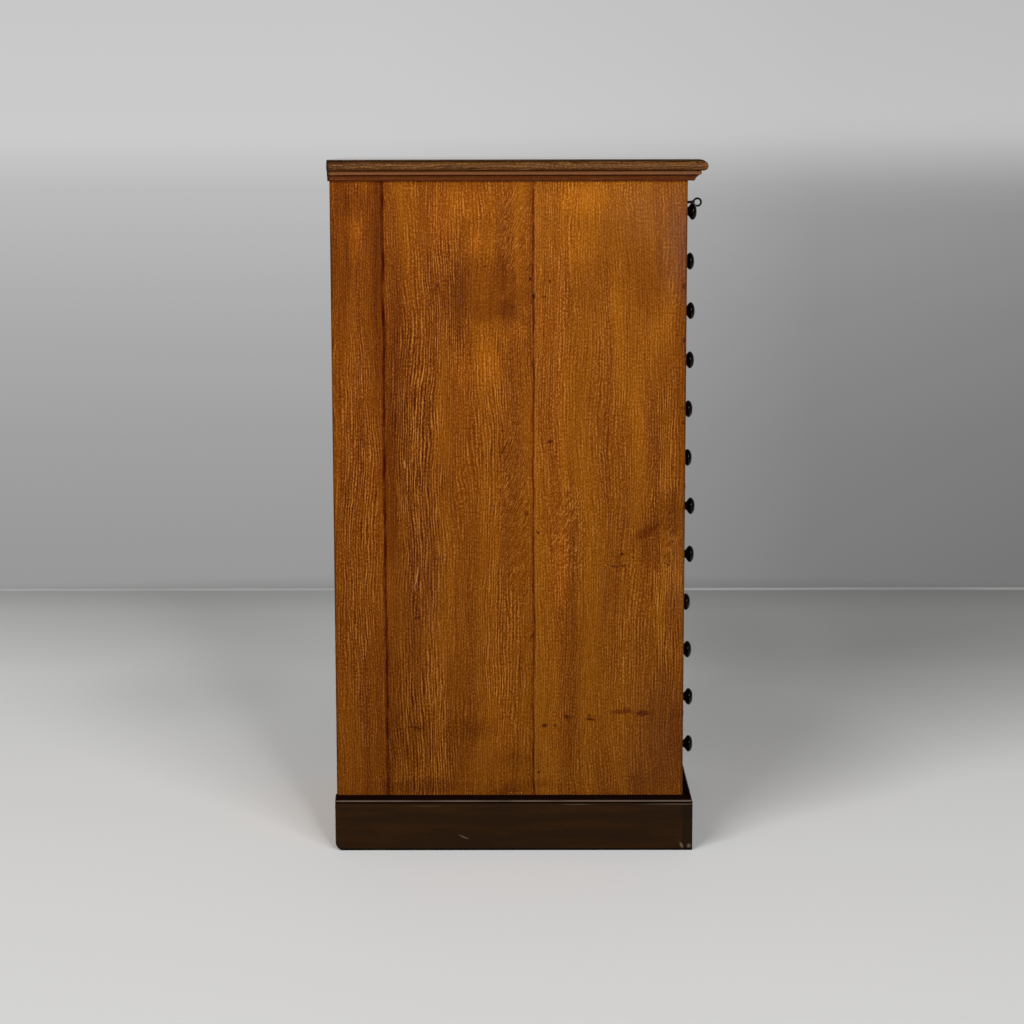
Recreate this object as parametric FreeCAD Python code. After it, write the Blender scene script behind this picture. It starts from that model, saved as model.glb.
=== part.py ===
import FreeCAD
import Part
import math
import os

# Eyeglass lens cabinet: an oak chest of twelve shallow drawers on an ebonised plinth.
# Millimetres. The front faces -Y, +Z is up, the floor is z = 0.

# Driving dimensions of the whole
height = 1000.0
carcass_width = 400.0
carcass_depth = 505.0
drawer_count = 12
drawer_pitch = 72.0
key_reach = 35.0  # of the key's bow in front of the carcass
back_lap = 2.0  # of the top, moulding and plinth behind the carcass

# Thicknesses and joints of the carcass
side_thick = 18.0
rail_thick = 8.0
rail_deep = 40.0
housing = 6.0  # depth of the housings in the sides
housing_set = 10.0  # housings stop this far behind the front edge
runner_wide = 16.0  # of a runner clear of its housing
runner_end = 490.0  # behind the front
base_thick = 20.0
top_rail_thick = 14.0
sub_top_thick = 14.0
top_thick = 16.0
back_thick = 10.0
back_rebate = 9.0
seam_arris = 0.4
edge_round = 1.5
side_seams = (75.0, 288.0)  # glued joints of a side, from the back
back_board_count = 4

# Top edge and moulding, as overhangs from the carcass
nose_lap = 27.0
nose_upper = (14.0, 9.7)  # run and rise of the upper quarter ellipse
nose_lower = (7.1, 6.3)
fillet_lap = 18.0
fillet_low = 5.4  # underside of the fillet, below the top board
cavetto_top = (15.2, 6.0)  # overhang, and drop below the top board
cavetto_mid = (11.3, 9.4)
cavetto_foot = 9.0

# Plinth
plinth_high = 80.0
plinth_thick = 20.0
plinth_lap = 14.0
bevel_foot = 74.7  # where the bevel would meet the face
bevel_round = 3.0
quirk_at = 70.5
quirk_deep = 0.8
plinth_heel = 13.0  # worn corner at the back of the feet
plinth_toe = 2.0
block = 30.0
block_clear = 2.0  # of the floor

# Drawers, measured from the face and from the runner
front_thick = 16.0
front_gap = (0.6, 0.5, 1.0)  # beside, under and over a front
front_arris = 1.0
drawer_long = 470.0
drawer_side = 8.0
side_high = 56.0
side_lift = 0.2
back_top = 50.0
panel_thick = 4.0
panel_up = 5.0
panel_groove = 3.5
panel_front_groove = 5.0
divider_thick = 5.0
divider_top = 49.0
divider_housing = 2.0
tail_long = 11.0
front_tails = ((8.0, 23.5), (32.5, 48.0))
front_flare = 2.0
rear_tails = ((13.0, 26.0), (33.0, 46.0))
rear_flare = 1.5
set_backs = (1.0, 4.0, 2.5, 3.0, 4.5, 5.0, 0.0, 0.5, 5.5, 3.0, 0.5, 0.0)  # from the top drawer down
stop_high = 3.5
stop_long = 14.0
stop_wide = 24.0
stop_at = 90.0

# Knobs
knob_at = 100.0
knob_spigot = 4.5
knob_hole = 4.6
knob_collar = (8.0, 1.4)  # radius, length
knob_neck = ((1.4, 7.2), (4.8, 5.9), (8.0, 6.0), (11.0, 9.4))  # distance from the front, radius
knob_head = ((15.2, 12.5), (18.4, 10.3), (20.3, 6.2), (21.0, 0.0))

# Lock and key of the top drawer
key_up = 42.5  # of the key's axis above the runner
shank = 2.0
shank_hole = 2.7
slot_half = 1.4
slot_down = 8.8
escutcheon_wall = 1.0
escutcheon_deep = 2.5
bow_radius = 5.5
bow_stock = 1.5
collar_radius = 3.2
bit_radius = 8.0
bit_half = 1.0
bit_long = 6.0
case_half = 18.0
case_low = 11.5  # below the key's axis
case_deep = 10.0
case_wall = 1.2
plate_half = 25.0
plate_thick = 1.2
selvedge = 1.5
bolt_thick = 4.0
bolt_head_half = 7.0
bolt_inner_half = 8.5
bolt_outer_half = 12.0
bolt_bar = (3.0, 9.0)  # crossbar's edges above the key's axis
bolt_leg_low = 9.5
bolt_play = 0.3
bolt_throw = 6.0
mortise_slack = 1.0

# Fixings
screw_radius = 2.0
screw_head = 4.0
screw_long = 24.0
screw_spread = 150.0
screw_inset = (120.0, 90.0)  # from the front and from the back
fit_play = 0.15
nail_radius = 1.2
nail_long = 24.0
nail_spread = 28.0  # either side of a board's middle
lock_screw = (1.5, 3.0, 6.0)  # shank radius, head radius, length
lock_screw_edge = 0.6  # of plate left beside a head

# Places worked out from the above
half = carcass_width / 2
inner = half - side_thick
total_depth = key_reach + carcass_depth + back_lap
front = -total_depth / 2 + key_reach
back = front + carcass_depth
back_end = back + back_lap
board_back = back - back_thick
top_under = height - top_thick
sub_top_under = top_under - sub_top_thick
opening_top = sub_top_under - top_rail_thick
floor_top = plinth_high + base_thick
opening_high = drawer_pitch - rail_thick
stub = front + housing_set
far = 60.0  # reach of cutting shapes beyond the work
along_x = FreeCAD.Vector(1, 0, 0)
along_y = FreeCAD.Vector(0, 1, 0)
along_z = FreeCAD.Vector(0, 0, 1)


def box(x0, x1, y0, y1, z0, z1):
    return Part.makeBox(x1 - x0, y1 - y0, z1 - z0, FreeCAD.Vector(x0, y0, z0))


def rod(x, y, z, radius, length, axis):
    return Part.makeCylinder(radius, length, FreeCAD.Vector(x, y, z), axis)


def both(shape):
    return [shape, shape.mirror(FreeCAD.Vector(0, 0, 0), FreeCAD.Vector(1, 0, 0))]


def moved(shape, y, z):
    copy = shape.copy()
    copy.translate(FreeCAD.Vector(0, y, z))
    return copy


def write(name, shapes):
    solids = [solid for shape in shapes for solid in shape.Solids]
    piece = solids[0] if len(solids) == 1 else Part.makeCompound(solids)
    piece.exportStep(f"parts/{name}.step")
    print(f"{name}: {len(solids)} solid(s), {sum(solid.Volume for solid in solids) / 1000:.1f} cm3")


def opening_floor(row):
    # top of the rail or floor that drawer row rides on, row 0 at the top
    return floor_top + drawer_pitch * (drawer_count - 1 - row)


def rounded_edges(shape, radius, chosen):
    # chosen tells from an edge's two ends whether it is rounded
    edges = []
    for edge in shape.Edges:
        ends = [vertex.Point for vertex in edge.Vertexes]
        if len(ends) == 2 and chosen(*ends):
            edges.append(edge)
    return shape.makeFillet(radius, edges)


def prism_yz(points, x0, x1):
    wire = Part.makePolygon([FreeCAD.Vector(x0, y, z) for y, z in points + points[:1]])
    return Part.Face(wire).extrude(FreeCAD.Vector(x1 - x0, 0, 0))


def prism_xy(points, z0, z1):
    wire = Part.makePolygon([FreeCAD.Vector(x, y, z0) for x, y in points + points[:1]])
    return Part.Face(wire).extrude(FreeCAD.Vector(0, 0, z1 - z0))


def quarter_ellipse(centre, run, rise, start):
    # u = centre + run cos t, z = centre + rise sin t, for a quarter turn from start
    middle = FreeCAD.Vector(0, -centre[0], centre[1])
    tip = middle - FreeCAD.Vector(0, run, 0)
    ellipse = Part.Ellipse(tip, middle + FreeCAD.Vector(0, 0, rise), middle)
    return Part.ArcOfEllipse(ellipse, math.radians(start), math.radians(start + 90)).toShape()


def line(start, end):
    # between two (u, z) points, u measured outward from the carcass front
    return Part.makeLine(FreeCAD.Vector(0, -start[0], start[1]), FreeCAD.Vector(0, -end[0], end[1]))


def arc(start, middle, end):
    points = [FreeCAD.Vector(0, -u, z) for u, z in (start, middle, end)]
    return Part.Arc(*points).toShape()


def run_of(edges, length):
    # a moulding profile extruded along X, centred, with its wall plane at y = 0
    face = Part.Face(Part.Wire(edges))
    solid = face.extrude(FreeCAD.Vector(length, 0, 0))
    solid.translate(FreeCAD.Vector(-length / 2, 0, 0))
    return solid


def front_run(edges, z0, z1):
    # the front length of a moulding, mitred at both corners
    reach = half + far
    solid = run_of(edges, 2 * reach)
    mitre = prism_xy([(-reach, -far), (reach, -far), (half - far, far), (far - half, far)], z0, z1)
    return moved(solid.common(mitre), front, 0)


def left_run(edges, z0, z1):
    # the left length of a moulding, mitred at the front and square at the back
    solid = run_of(edges, 2 * (carcass_depth + far))
    solid.rotate(FreeCAD.Vector(0, 0, 0), along_z, -90)
    solid.translate(FreeCAD.Vector(-half, front, 0))
    outside, inside = -half - far, far - half
    corners = [(outside, front - far), (inside, front + far), (inside, back_end), (outside, back_end)]
    return solid.common(prism_xy(corners, z0, z1))


def side_boards():
    # left side: three boards edge to edge, housed for every rail, runner, top and base
    cuts = [box(-inner - housing, -inner, stub, board_back, plinth_high, floor_top)]
    cuts.append(box(-inner - housing, -inner, stub, board_back, sub_top_under, top_under))
    cuts.append(box(-inner - housing, -inner, stub, front + runner_end, opening_top, sub_top_under))
    cuts.append(box(-inner - back_rebate, -inner, board_back, back, plinth_high, top_under))
    for row in range(drawer_count - 1):
        top = opening_floor(row)
        cuts.append(box(-inner - housing, -inner, stub, front + runner_end, top - rail_thick, top))
    edges = [back] + [back - seam for seam in side_seams] + [front]
    boards = []
    for rear, fore in zip(edges, edges[1:]):
        board = box(-half, -inner, fore, rear, plinth_high, top_under)
        for y in (fore, rear):
            at_seam = y not in (front, back)
            outer = [edge for edge in board.Edges if upright_at(edge, -half, y)]
            board = board.makeChamfer(seam_arris, outer) if at_seam else board.makeFillet(edge_round, outer)
        boards.append(board.cut(Part.makeCompound(cuts)))
    return boards


def upright_at(edge, x, y):
    ends = [vertex.Point for vertex in edge.Vertexes]
    return len(ends) == 2 and all(abs(end.x - x) < 1e-6 and abs(end.y - y) < 1e-6 for end in ends)


def housed(z0, z1, rear):
    # a full-width board with stopped stubs in both sides
    body = box(-inner, inner, front, rear, z0, z1)
    return body.fuse(box(-inner - housing, inner + housing, stub, rear, z0, z1)).removeSplitter()


def screw_places():
    rows = (front + screw_inset[0], back - screw_inset[1])
    return [(x, y) for x in (-screw_spread, 0, screw_spread) for y in rows]


def nail_places():
    wide = 2 * (inner + back_rebate) / back_board_count
    centres = [-inner - back_rebate + wide * (number + 0.5) for number in range(back_board_count)]
    levels = (plinth_high + base_thick / 2, sub_top_under + sub_top_thick / 2)
    return [(x + shift, z) for x in centres for shift in (-nail_spread, nail_spread) for z in levels]


def screw(place, into, sizes, play):
    # a countersunk screw, or with play the hole for it; sizes are shank radius, head radius and length
    shank_radius, head_radius, length = sizes
    pin = Part.makeCylinder(shank_radius + play, length + play, place, into)
    head = Part.makeCone(head_radius + play, shank_radius + play, head_radius - shank_radius, place, into)
    return pin.fuse(head).removeSplitter()


def top_screws(play):
    sizes = (screw_radius, screw_head, screw_long)
    return [screw(FreeCAD.Vector(x, y, sub_top_under), along_z, sizes, play) for x, y in screw_places()]


def nails(radius, length):
    return [rod(x, back, z, radius, length, FreeCAD.Vector(0, -1, 0)) for x, z in nail_places()]


def back_boards():
    wide = 2 * (inner + back_rebate) / back_board_count
    left = -inner - back_rebate
    holes = Part.makeCompound(nails(nail_radius + fit_play, nail_long))
    boards = []
    for number in range(back_board_count):
        start = left + wide * number
        board = box(start, start + wide, board_back, back, plinth_high, top_under)
        outer = [edge for edge in board.Edges if all(abs(v.Point.y - back) < 1e-6 for v in edge.Vertexes)]
        upright = [edge for edge in outer if abs(edge.Vertexes[0].Z - edge.Vertexes[1].Z) > 1]
        boards.append(board.makeChamfer(seam_arris, upright).cut(holes))
    return boards


def lock_mortise():
    face = front + set_backs[0]
    centre = face + front_thick - case_deep + case_wall + bolt_thick / 2 + bolt_play
    deep = bolt_throw + 2 * mortise_slack
    half_wide = bolt_head_half + mortise_slack
    half_deep = bolt_thick / 2 + mortise_slack
    return box(-half_wide, half_wide, centre - half_deep, centre + half_deep, opening_top, opening_top + deep)


def top_board():
    # a slab with a bullnose on the front and both ends, its nose mitred at the corners
    tip = height - nose_upper[1]
    upper_start = nose_lap - nose_upper[0]
    lower_start = nose_lap - nose_lower[0]
    edges = [
        line((-nose_lap, top_under), (-nose_lap, height)),
        line((-nose_lap, height), (upper_start, height)),
        quarter_ellipse((upper_start, tip), *nose_upper, 0),
        quarter_ellipse((lower_start, tip), *nose_lower, -90),
        line((lower_start, top_under), (-nose_lap, top_under)),
    ]
    middle = box(nose_lap - half, half - nose_lap, front + nose_lap, back_end, top_under, height)
    noses = [front_run(edges, top_under, height)] + both(left_run(edges, top_under, height))
    return middle.multiFuse(noses).removeSplitter().cut(Part.makeCompound(top_screws(fit_play)))


def cornice():
    low = sub_top_under
    foot = (cavetto_foot, low)
    middle, crest = [(lap, top_under - drop) for lap, drop in (cavetto_mid, cavetto_top)]
    step = top_under - fillet_low
    edges = [
        line((0, low), foot),
        arc(foot, middle, crest),
        line(crest, (crest[0], step)),
        line((crest[0], step), (fillet_lap, step)),
        line((fillet_lap, step), (fillet_lap, top_under)),
        line((fillet_lap, top_under), (0, top_under)),
        line((0, top_under), (0, low)),
    ]
    return [front_run(edges, low, top_under)] + both(left_run(edges, low, top_under))


def rounded(corner, before, after, radius):
    # start, middle and end of the arc that rounds a corner of an outline
    towards = []
    for point in (before, after):
        length = math.hypot(point[0] - corner[0], point[1] - corner[1])
        towards.append(((point[0] - corner[0]) / length, (point[1] - corner[1]) / length))
    half_turn = math.acos(towards[0][0] * towards[1][0] + towards[0][1] * towards[1][1]) / 2
    tangent = radius / math.tan(half_turn)
    middle = radius / math.sin(half_turn) - radius
    bisector = (towards[0][0] + towards[1][0], towards[0][1] + towards[1][1])
    shrink = middle / math.hypot(*bisector)
    ends = [(corner[0] + unit[0] * tangent, corner[1] + unit[1] * tangent) for unit in towards]
    return ends[0], (corner[0] + bisector[0] * shrink, corner[1] + bisector[1] * shrink), ends[1]


def plinth_section():
    # the top bevels to a rounded arris; below it are a quirk and the plain face
    inside = plinth_lap - plinth_thick
    toe = rounded((plinth_lap, 0), (inside, 0), (plinth_lap, quirk_at), plinth_toe)
    quirk_levels = (quirk_at - quirk_deep, quirk_at, quirk_at + quirk_deep)
    quirk = list(zip((plinth_lap, plinth_lap - quirk_deep, plinth_lap), quirk_levels))
    arris = rounded((plinth_lap, bevel_foot), quirk[2], (0, plinth_high), bevel_round)
    return [
        line((inside, 0), toe[0]),
        arc(*toe),
        line(toe[2], quirk[0]),
        arc(*quirk),
        line(quirk[2], arris[0]),
        arc(*arris),
        line(arris[2], (0, plinth_high)),
        line((0, plinth_high), (inside, plinth_high)),
        line((inside, plinth_high), (inside, 0)),
    ]


def plinth_left():
    # its back foot is worn round
    heel = box(-half - far, far - half, back_end - plinth_heel, back_end + far, -far, plinth_heel)
    round_foot = rod(-half - far, back_end - plinth_heel, plinth_heel, plinth_heel, 2 * far, along_x)
    return left_run(plinth_section(), 0, plinth_high).cut(heel.cut(round_foot))


def plinth_back():
    reach = half + plinth_lap - plinth_thick
    return box(-reach, reach, back - plinth_thick, back, 0, plinth_high)


def plinth_blocks():
    reach = half + plinth_lap - plinth_thick
    blocks = []
    for y in (front - plinth_lap + plinth_thick, back - plinth_thick - block):
        blocks += both(box(-reach, block - reach, y, y + block, block_clear, plinth_high))
    return blocks


def drawer_rails():
    rails = []
    for row in range(drawer_count - 1):
        top = opening_floor(row)
        rails.append(housed(top - rail_thick, top, front + rail_deep))
    return rails


def runners(z0, z1):
    return both(box(-inner - housing, runner_wide - inner, front + rail_deep, front + runner_end, z0, z1))


def drawer_runners():
    strips = []
    for row in range(drawer_count - 1):
        strips += runners(opening_floor(row) - rail_thick, opening_floor(row))
    return strips


def drawer_stops():
    # each pair meets the back of its drawer front
    stops = []
    outside, inside = -stop_at - stop_wide / 2, stop_wide / 2 - stop_at
    for row, set_back in enumerate(set_backs):
        y = front + set_back + front_thick
        z = opening_floor(row)
        stops += both(box(outside, inside, y, y + stop_long, z, z + stop_high))
    return stops


def tails(rows, y0, y1, flare0, flare1):
    # dovetails on the left drawer side: trapezia across its thickness
    outer = inner - front_gap[0]
    solids = []
    for low, high in rows:
        points = [(y0, low - flare0), (y1, low - flare1), (y1, high + flare1), (y0, high + flare0)]
        solids.append(prism_yz(points, -outer, drawer_side - outer))
    return solids


def drawer_pieces():
    # one drawer in its own frame: y = 0 at its face, z = 0 at the runner
    outer = inner - front_gap[0]
    rear = drawer_long - drawer_side
    front_board = box(-outer, outer, 0, front_thick, front_gap[1], opening_high - front_gap[2])
    front_board = rounded_edges(front_board, front_arris, lambda a, b: max(a.y, b.y) < 1e-6)
    panel_half = outer - drawer_side + panel_groove
    panel_front = front_thick - panel_front_groove
    panel = box(-panel_half, panel_half, panel_front, drawer_long, panel_up, panel_up + panel_thick)
    shoulder = box(-outer, drawer_side - outer, front_thick, rear, side_lift, side_high)
    rear_low = box(-outer, drawer_side - outer, rear, drawer_long, side_lift, panel_up + panel_thick)
    rear_high = box(-outer, drawer_side - outer, rear, drawer_long, back_top, side_high)
    fore = tails(front_tails, front_thick - tail_long, front_thick, front_flare, 0)
    aft = tails(rear_tails, rear, drawer_long, 0, rear_flare)
    side = shoulder.multiFuse([rear_low, rear_high] + fore + aft).removeSplitter().cut(panel)
    sides = both(side)
    back_board = box(-outer, outer, rear, drawer_long, panel_up + panel_thick, back_top)
    divider_ends = (front_thick - divider_housing, rear + divider_housing)
    divider_half = divider_thick / 2
    divider = box(-divider_half, divider_half, *divider_ends, panel_up + panel_thick, divider_top)
    joined = Part.makeCompound(sides + [divider])
    back_board = back_board.cut(joined)
    holes = [rod(x, 0, opening_high / 2, knob_hole, front_thick, along_y) for x in (-knob_at, knob_at)]
    front_board = front_board.cut(Part.makeCompound(sides + [panel, divider] + holes))
    return front_board, sides + [back_board, panel, divider]


def knob(x):
    # a turned mushroom knob with its spigot through the front
    turning = [FreeCAD.Vector(radius, -reach, 0) for reach, radius in knob_neck + knob_head]
    curve = Part.BSplineCurve()
    curve.interpolate(turning)
    flange, flange_long = knob_collar
    corners = [(0, front_thick), (knob_spigot, front_thick), (knob_spigot, 0), (flange, 0)]
    corners += [(flange, -flange_long), (knob_neck[0][1], -flange_long)]
    vectors = [FreeCAD.Vector(radius, y, 0) for radius, y in corners]
    edges = [Part.makeLine(start, end) for start, end in zip(vectors, vectors[1:])]
    edges += [curve.toShape(), Part.makeLine(turning[-1], vectors[0])]
    solid = Part.Face(Part.Wire(edges)).revolve(FreeCAD.Vector(0, 0, 0), along_y, 360)
    solid.translate(FreeCAD.Vector(x, 0, opening_high / 2))
    return solid


def keyhole(grow, y0, y1):
    # a round hole with a slot below it for the bit
    length = y1 - y0
    reach = slot_half + grow
    low = key_up - slot_down - grow
    slot = box(-reach, reach, y0, y1, low + reach, key_up)
    foot = rod(0, y0, low + reach, reach, length, along_y)
    return rod(0, y0, key_up, shank_hole + grow, length, along_y).multiFuse([slot, foot]).removeSplitter()


def lock_levels():
    # depth of the case's front wall, back of the case, its foot and its top
    fore = front_thick - case_deep
    return fore, front_thick - plate_thick, key_up - case_low, opening_high - front_gap[2]


def lock_screws(play):
    # one near each corner of the plate
    rear, foot, top = lock_levels()[1:]
    inset = lock_screw[1] + lock_screw_edge
    across = plate_half - inset
    levels = (foot + inset, top - selvedge - inset)
    places = [FreeCAD.Vector(x, rear + plate_thick, z) for x in (-across, across) for z in levels]
    return [screw(place, FreeCAD.Vector(0, -1, 0), lock_screw, play) for place in places]


def lock_envelope():
    fore, rear, foot, top = lock_levels()
    case = box(-case_half, case_half, fore, front_thick, foot, top)
    plate = box(-plate_half, plate_half, rear, front_thick, foot, top)
    return case.multiFuse([plate, box(-plate_half, plate_half, fore, front_thick, top - selvedge, top)])


def bolt_levels():
    fore = lock_levels()[0] + case_wall + bolt_play
    return fore, fore + bolt_thick


def lock_case():
    fore, rear, foot, top = lock_levels()
    bolt_fore, bolt_rear = bolt_levels()
    hollow_half = case_half - case_wall
    hollow = box(-hollow_half, hollow_half, fore + case_wall, rear, foot + case_wall, top - selvedge)
    head_half = bolt_head_half + bolt_play
    slot = box(-head_half, head_half, bolt_fore - bolt_play, bolt_rear + bolt_play, top - selvedge, top)
    cuts = [hollow, slot, keyhole(0, fore, fore + case_wall)] + lock_screws(fit_play)
    return lock_envelope().removeSplitter().cut(Part.makeCompound(cuts))


def lock_bolt():
    # an arch over the bit, with the head that rises through the selvedge
    fore, rear = bolt_levels()
    low, high = key_up + bolt_bar[0], key_up + bolt_bar[1]
    arch = box(-bolt_outer_half, bolt_outer_half, fore, rear, key_up - bolt_leg_low, high)
    arch = arch.cut(box(-bolt_inner_half, bolt_inner_half, fore, rear, key_up - bolt_leg_low, low))
    head = box(-bolt_head_half, bolt_head_half, fore, rear, high, lock_levels()[3])
    return arch.fuse(head).removeSplitter()


def key():
    # a ring bow, a collar, the shank and a plain bit that hangs down at rest
    bow_at = -key_reach - set_backs[0] + bow_radius + bow_stock
    shank_start = bow_at + bow_radius
    shank_end = front_thick - plate_thick - 2 * fit_play
    bow = Part.makeTorus(bow_radius, bow_stock, FreeCAD.Vector(0, bow_at, key_up), along_x)
    stem = rod(0, shank_start, key_up, shank, shank_end - shank_start, along_y)
    collar = rod(0, shank_start + bow_stock, key_up, collar_radius, bow_stock, along_y)
    bit_start = bolt_levels()[0] + fit_play
    bit = box(-bit_half, bit_half, bit_start, bit_start + bit_long, key_up - bit_radius, key_up)
    return bow.multiFuse([stem, collar, bit]).removeSplitter()


os.makedirs("parts", exist_ok=True)

# Carcass
left = side_boards()
write("left_side", left)
write("right_side", [both(board)[1] for board in left])
write("back_boards", back_boards())
nail_holes = Part.makeCompound(nails(nail_radius + fit_play, nail_long))
screw_holes = Part.makeCompound(top_screws(fit_play))
write("carcass_bottom", [housed(plinth_high, floor_top, board_back).cut(nail_holes)])
write("carcass_top", [housed(sub_top_under, top_under, board_back).cut(screw_holes).cut(nail_holes)])
write("top_rail", [housed(opening_top, sub_top_under, front + rail_deep).cut(lock_mortise())])
write("top_board", [top_board()])
write("cornice", cornice())
write("plinth_front", [front_run(plinth_section(), 0, plinth_high)])
plinth_sides = both(plinth_left())
write("plinth_left", plinth_sides[:1])
write("plinth_right", plinth_sides[1:])
write("plinth_back", [plinth_back()])
write("plinth_blocks", plinth_blocks())
write("drawer_rails", drawer_rails())
write("drawer_runners", drawer_runners())
write("top_kickers", runners(opening_top, sub_top_under))
write("drawer_stops", drawer_stops())
write("top_screws", top_screws(0))
write("back_nails", nails(nail_radius, nail_long - 1))

# Drawers, the lock only in the top one
drawer_front, drawer_box = drawer_pieces()
knobs = [knob(-knob_at), knob(knob_at)]
for row, set_back in enumerate(set_backs):
    y, z = front + set_back, opening_floor(row)
    name = f"drawer_{row + 1:02d}"
    board, pieces = drawer_front, drawer_box
    if row == 0:
        holes = [keyhole(escutcheon_wall, 0, escutcheon_deep), keyhole(0, 0, front_thick - case_deep)]
        board = board.cut(Part.makeCompound(holes + [lock_envelope()] + lock_screws(fit_play)))
        pieces = [piece.cut(lock_envelope()) for piece in drawer_box]
    write(f"{name}_front", [moved(board, y, z)])
    write(f"{name}_box", [moved(piece, y, z) for piece in pieces])
    write(f"{name}_knobs", [moved(piece, y, z) for piece in knobs])

# Lock of the top drawer
lock_y, lock_z = front + set_backs[0], opening_floor(0)
escutcheon = keyhole(escutcheon_wall, 0, escutcheon_deep).cut(keyhole(0, 0, escutcheon_deep))
write("escutcheon", [moved(escutcheon, lock_y, lock_z)])
write("lock_case", [moved(lock_case(), lock_y, lock_z)])
write("lock_screws", [moved(screw, lock_y, lock_z) for screw in lock_screws(0)])
write("lock_bolt", [moved(lock_bolt(), lock_y, lock_z)])
write("key", [moved(key(), lock_y, lock_z)])
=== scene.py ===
import math
import bpy
from mathutils import Matrix, Vector


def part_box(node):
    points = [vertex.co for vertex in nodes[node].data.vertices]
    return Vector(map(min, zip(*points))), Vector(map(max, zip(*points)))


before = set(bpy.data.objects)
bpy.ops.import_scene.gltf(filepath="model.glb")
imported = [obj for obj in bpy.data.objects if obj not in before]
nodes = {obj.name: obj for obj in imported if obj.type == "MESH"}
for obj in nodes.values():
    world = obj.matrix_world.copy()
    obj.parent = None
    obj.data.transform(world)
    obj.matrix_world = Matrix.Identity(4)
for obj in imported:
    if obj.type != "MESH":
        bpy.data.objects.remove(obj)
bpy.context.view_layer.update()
mm = 0.001
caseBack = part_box("back_boards")[1].y
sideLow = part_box("left_side")[0]
print("frame loaded:", len(nodes), "pieces")


def linear(hexColour):
    # sRGB hex to linear red, green, blue, alpha
    channels = [int(hexColour[start:start + 2], 16) / 255 for start in (1, 3, 5)]
    return tuple(c / 12.92 if c <= 0.04045 else ((c + 0.055) / 1.055) ** 2.4 for c in channels) + (1.0,)


def add(tree, kind, links, out=0, **settings):
    # one node: its settings by name, its inputs by number or name to a socket or a value; gives back
    # one of its outputs
    node = tree.nodes.new("ShaderNode" + kind)
    for name, value in settings.items():
        setattr(node, name, value)
    for name, value in links.items():
        if isinstance(value, bpy.types.NodeSocket):
            tree.links.new(value, node.inputs[name])
        else:
            node.inputs[name].default_value = value
    return node.outputs[out]


# Inputs by number: a Mix takes its amount at 0 and two numbers at 2 and 3 or two colours at 6 and 7, with
# the mixed colour at output 2; a MapRange takes a value at 0 from the span 1..2 to the span 3..4.
soft = {"interpolation_type": "SMOOTHSTEP"}
tinted = {"data_type": "RGBA"}
multiplied = {"data_type": "RGBA", "blend_type": "MULTIPLY"}


def newMaterial(name):
    material = bpy.data.materials.new(name)
    material.use_nodes = True
    tree = material.node_tree
    return material, tree, tree.nodes["Principled BSDF"]


def grainSpace(tree, order):
    # object coordinates in metres, sorted as across the grain, along it and into the board
    place = add(tree, "TexCoord", {}, out="Object")
    parts = dict(zip("XYZ", add(tree, "SeparateXYZ", {0: place}).node.outputs))
    vector = add(tree, "CombineXYZ", {number: parts[axis] for number, axis in enumerate(order)})
    return vector, parts


def streaks(tree, vector, size, detail=2.0, window=(0.0, 1.0), into=(0.0, 1.0)):
    # noise in grains of so many millimetres across and along the board; the stretch of it inside the
    # window is eased over the range that it goes into
    across, along = (1 / (length * mm) for length in size)
    stretched = add(tree, "VectorMath", {0: vector, 1: (across, along, across)}, operation="MULTIPLY")
    noise = add(tree, "TexNoise", {"Vector": stretched, "Scale": 1.0, "Detail": detail})
    limits = {1: window[0], 2: window[1], 3: into[0], 4: into[1]}
    return add(tree, "MapRange", {0: noise, **limits}, **soft)


# Quarter-sawn oak under old shellac: golden brown, with soft bands, fine combed streaks that are paler and
# redder than the ground, a speckle of open pores, and a low gloss. The streaks are about 4 mm apart, four
# times the real spacing, so that they still show. Each size is across and along the grain, in millimetres.
oakLook = {
    "light": "#844b02", "middle": "#6c3902", "dark": "#572301", "toneSize": (42, 480), "bandSize": (9, 300),
    "bandShare": 0.3, "middleShare": 0.45,
    "sway": 6, "swaySize": (70, 230), "bend": 1.0, "bendSize": (19, 62), "curl": 0.32, "curlSize": (6, 9),
    "lineApart": 3.9, "uneven": 1.6, "unevenSize": (6.5, 46), "lineSize": (2.6, 38), "lean": 0.42,
    "strokeSize": (1.82, 13), "soak": "#9e5216", "deep": 1.0, "fleck": "#ad7434", "pale": 0.85,
    "speckle": 0.36, "gritSize": (1.8, 3.1), "pore": "#240c01", "pores": 0.2, "poreSize": (2.0, 14),
    "roughness": 0.34, "specular": 0.025, "bump": 0.0001,
}


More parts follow.
